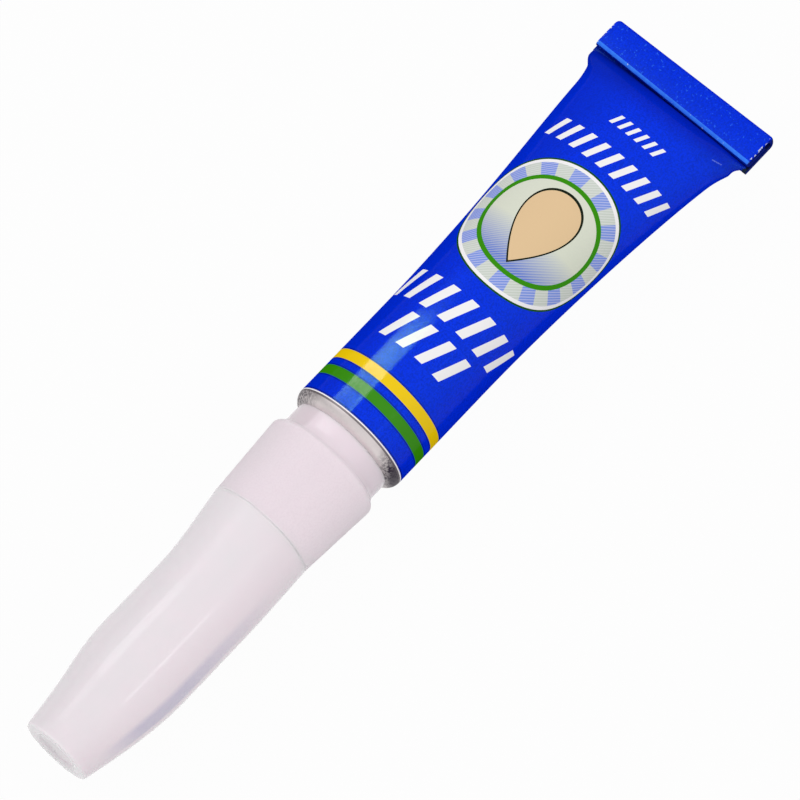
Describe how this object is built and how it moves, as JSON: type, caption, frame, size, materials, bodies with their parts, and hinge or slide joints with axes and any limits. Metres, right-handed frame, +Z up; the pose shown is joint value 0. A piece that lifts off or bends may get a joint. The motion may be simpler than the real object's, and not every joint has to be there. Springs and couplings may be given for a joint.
{
  "type": "tube of glue",
  "caption": "Small collapsible metal tube of glue with a flat folded end, a screw-on plastic nozzle and a long push-on cap over its spout.",
  "frame": {"origin": "on the surface that the tube lies on, below the middle of its length and width", "axes": "+X along the tube from the cap's end face to the folded end, +Y across the fold, +Z up, the side that the end is folded towards; the tube's axis lies 0.6 mm off the middle of the width, towards +Y"},
  "size_m": [0.0964, 0.0212, 0.0135],
  "materials": {
    "enamelled_tube": "soft aluminium, blue gloss enamel with a green and a yellow ring, bare metal at the shoulder",
    "seal_latex": "cream sealing latex, matte",
    "glue": "clear liquid adhesive",
    "frosted_plastic": "translucent white plastic, spark-textured grip and smooth collar",
    "milky_plastic": "smooth glossy milky plastic"
  },
  "bodies": {
    "tube": {"tube_body": "enamelled_tube", "end_seal": "seal_latex", "glue_fill": "glue"},
    "nozzle": {"nozzle": "frosted_plastic"},
    "cap": {"cap": "milky_plastic"}
  },
  "joints": [
    {"name": "nozzle_turn", "type": "hinge", "parent": "tube", "child": "nozzle", "pos_m": [-0.008, 0.0006, 0.00674], "axis": [-1, 0, 0], "range_deg": [0, 900]},
    {"name": "cap_pull", "type": "slide", "parent": "nozzle", "child": "cap", "axis": [-1, 0, 0], "range_m": [0, 0.036]}
  ]
}
